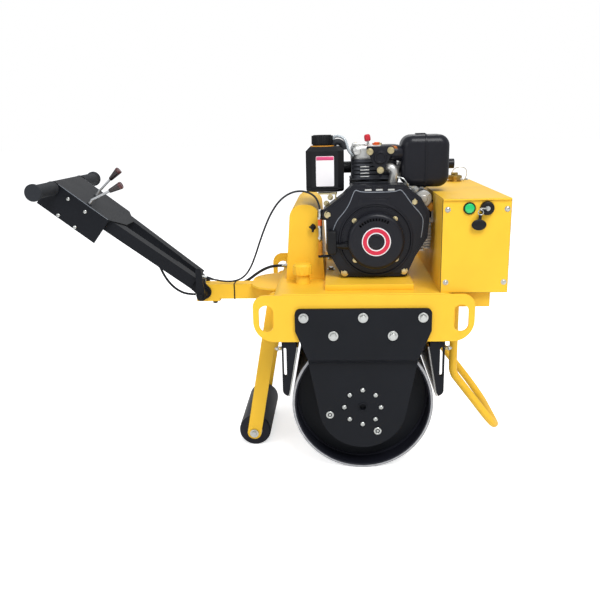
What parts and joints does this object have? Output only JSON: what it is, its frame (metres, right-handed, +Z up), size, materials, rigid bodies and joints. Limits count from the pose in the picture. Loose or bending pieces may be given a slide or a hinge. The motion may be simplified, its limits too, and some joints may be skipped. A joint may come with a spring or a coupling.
{
  "type": "walk-behind single-drum vibratory road roller",
  "caption": "Walk-behind single-drum vibratory roller with an air-cooled engine, box covers, rear support roller, front stand and a fold-up guide handle.",
  "frame": {"origin": "on the ground, midway along the machine and on its centre plane", "axes": "+X towards the machine's front, +Z up, so the operator's right-hand side is -Y"},
  "size_m": [1.4786, 0.686, 1.002],
  "materials": {
    "yellow_paint": "satin",
    "drum_steel": "satin",
    "black_paint": "satin",
    "blade_steel": "satin",
    "zinc": "satin",
    "cast_aluminium": "satin",
    "engine_black": "satin",
    "battery_case": "matte",
    "black_rubber": "matte",
    "black_plastic": "matte",
    "dark_red_plastic": "gloss",
    "green_plastic": "gloss",
    "cable_black": "satin",
    "brass": "satin"
  },
  "bodies": {
    "frame": {"air_cleaner": "black_plastic", "air_cleaner_cap": "black_plastic", "battery": "battery_case", "belt_guard": "black_paint", "box_cover": "yellow_paint", "box_filler": "brass", "cable_fittings": "zinc", "crankcase": "cast_aluminium", "cylinder_barrel": "cast_aluminium", "cylinder_head": "cast_aluminium", "deck": "yellow_paint", "deck_filler": "yellow_paint", "engine_base": "yellow_paint", "exhaust_pipe": "cast_aluminium", "fan_shroud": "engine_black", "front_box": "yellow_paint", "front_member": "yellow_paint", "front_stand": "yellow_paint", "handle_bracket": "yellow_paint", "hanger_plate_left": "black_paint", "hanger_plate_right": "black_paint", "hub_housings": "black_paint", "intake_elbow": "black_plastic", "key_switch": "zinc", "muffler": "engine_black", "rear_tank": "yellow_paint", "recoil_cover": "engine_black", "recoil_grip": "black_plastic", "return_cable": "cable_black", "rocker_cover": "cast_aluminium", "roller_arms": "yellow_paint", "roller_pin": "zinc", "scraper_blades": "blade_steel", "scraper_brackets": "black_paint", "side_plate_left": "yellow_paint", "side_plate_right": "yellow_paint", "start_button": "green_plastic", "starter_motor": "engine_black", "tail_pipe": "engine_black", "tank_hose": "cable_black", "throttle_cable": "cable_black", "throttle_linkage": "zinc", "voltage_regulator": "cast_aluminium"},
    "drum": {"drum_shell": "drum_steel", "drum_end_right": "black_paint", "drum_end_left": "black_paint", "exciter": "black_paint"},
    "roller": {"rear_roller": "drum_steel"},
    "handle": {"handle_arms": "black_paint", "pivot_bolt": "zinc", "clamp_lever": "black_paint", "control_levers": "black_paint", "lever_knobs": "dark_red_plastic", "control_box": "black_paint", "handlebar": "black_paint", "grips": "black_rubber"}
  },
  "joints": [
    {"name": "drum_spin", "type": "hinge", "parent": "frame", "child": "drum", "pos_m": [0.27983, 0, 0.2125], "axis": [0, 1, 0], "continuous": true},
    {"name": "rear_roller_spin", "type": "hinge", "parent": "frame", "child": "roller", "pos_m": [-0.07017, 0, 0.052], "axis": [0, 1, 0], "continuous": true},
    {"name": "handle_fold", "type": "hinge", "parent": "frame", "child": "handle", "pos_m": [-0.23717, 0, 0.498], "axis": [0, 1, 0], "range_deg": [-15, 70]}
  ]
}
